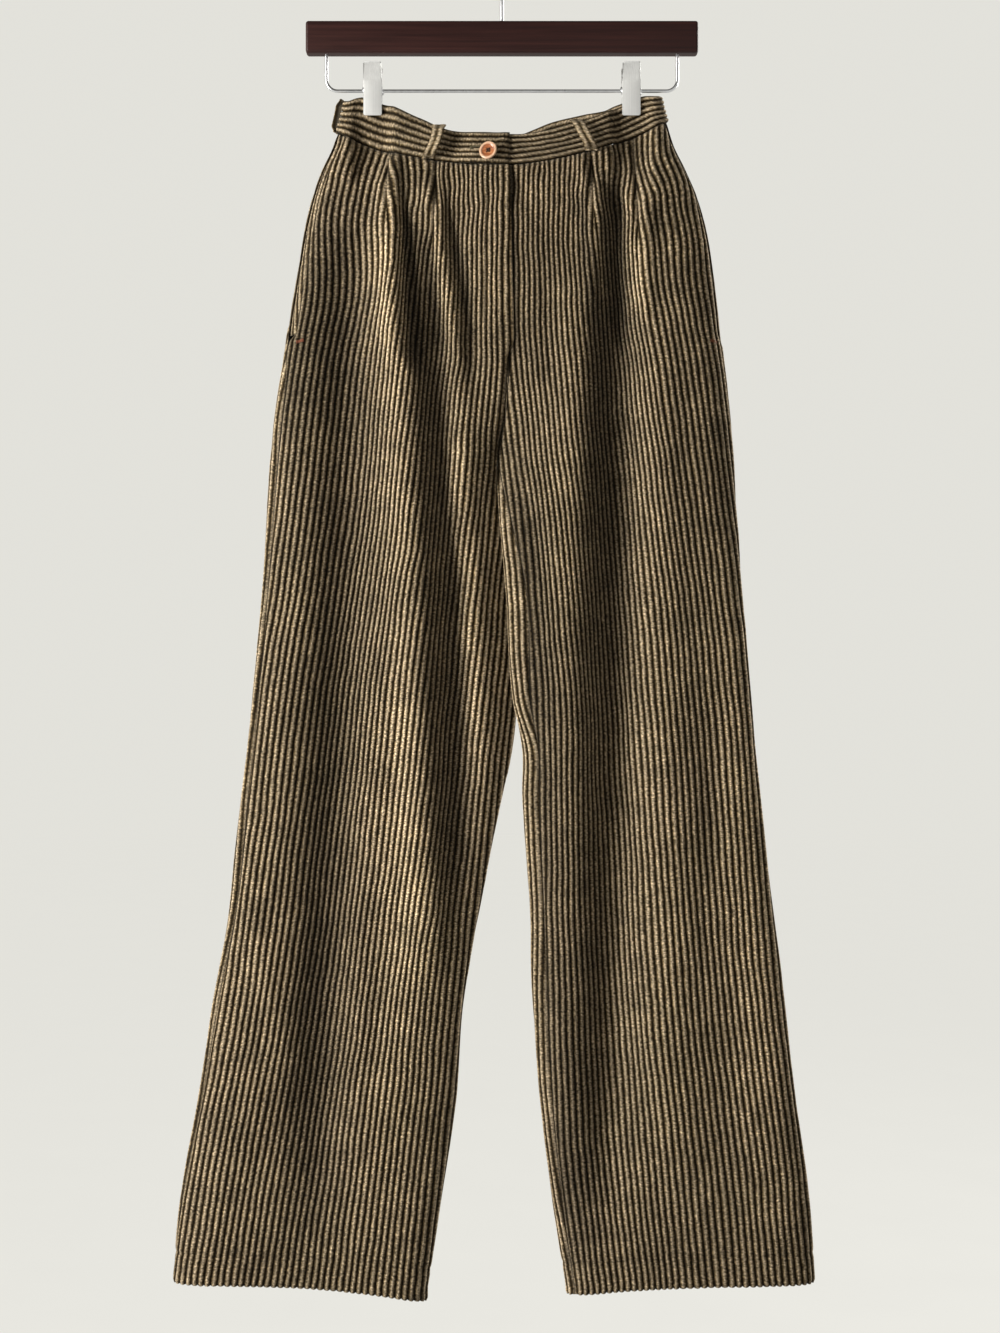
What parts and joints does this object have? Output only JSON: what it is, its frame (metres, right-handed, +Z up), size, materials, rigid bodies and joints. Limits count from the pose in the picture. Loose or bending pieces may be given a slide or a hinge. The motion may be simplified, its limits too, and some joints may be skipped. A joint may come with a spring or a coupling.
{
  "type": "corduroy trousers on a clip hanger",
  "caption": "High-waisted pleated corduroy trousers with wide straight legs, hung flat by the waistband from a wooden bar hanger with metal clips.",
  "frame": {"origin": "inside top of the hanger's hook, where a rail carries it", "axes": "+Z up, the front of the trousers faces -Y, +X to the right as the front is looked at"},
  "size_m": [0.5822, 0.0647, 1.2402],
  "materials": {
    "corduroy": "wide-wale cotton corduroy, velvety ridges with darker grooves",
    "zip": "dark woven zip tape with a plain coil",
    "button": "polished reddish-brown shell-like button with a lighter rim",
    "bar_wood": "dark mahogany stain under satin varnish",
    "wire": "bright plated steel wire",
    "clip_plate": "satin plated steel"
  },
  "bodies": {
    "root": {"front_left": "corduroy", "front_right": "corduroy", "back_left": "corduroy", "back_right": "corduroy", "waistband": "corduroy", "pocket_facing_left": "corduroy", "pocket_facing_right": "corduroy", "fly_shield": "corduroy", "belt_loop_front_left": "corduroy", "belt_loop_front_right": "corduroy", "belt_loop_side_left": "corduroy", "belt_loop_side_right": "corduroy", "belt_loop_back": "corduroy", "fly_zip": "zip", "button": "button", "hanger_bar": "bar_wood", "hanger_rod": "wire", "hanger_hook": "wire", "clip_left_spring": "wire", "clip_right_spring": "wire", "clip_left_front": "clip_plate", "clip_left_back": "clip_plate", "clip_right_front": "clip_plate", "clip_right_back": "clip_plate"}
  },
  "joints": []
}
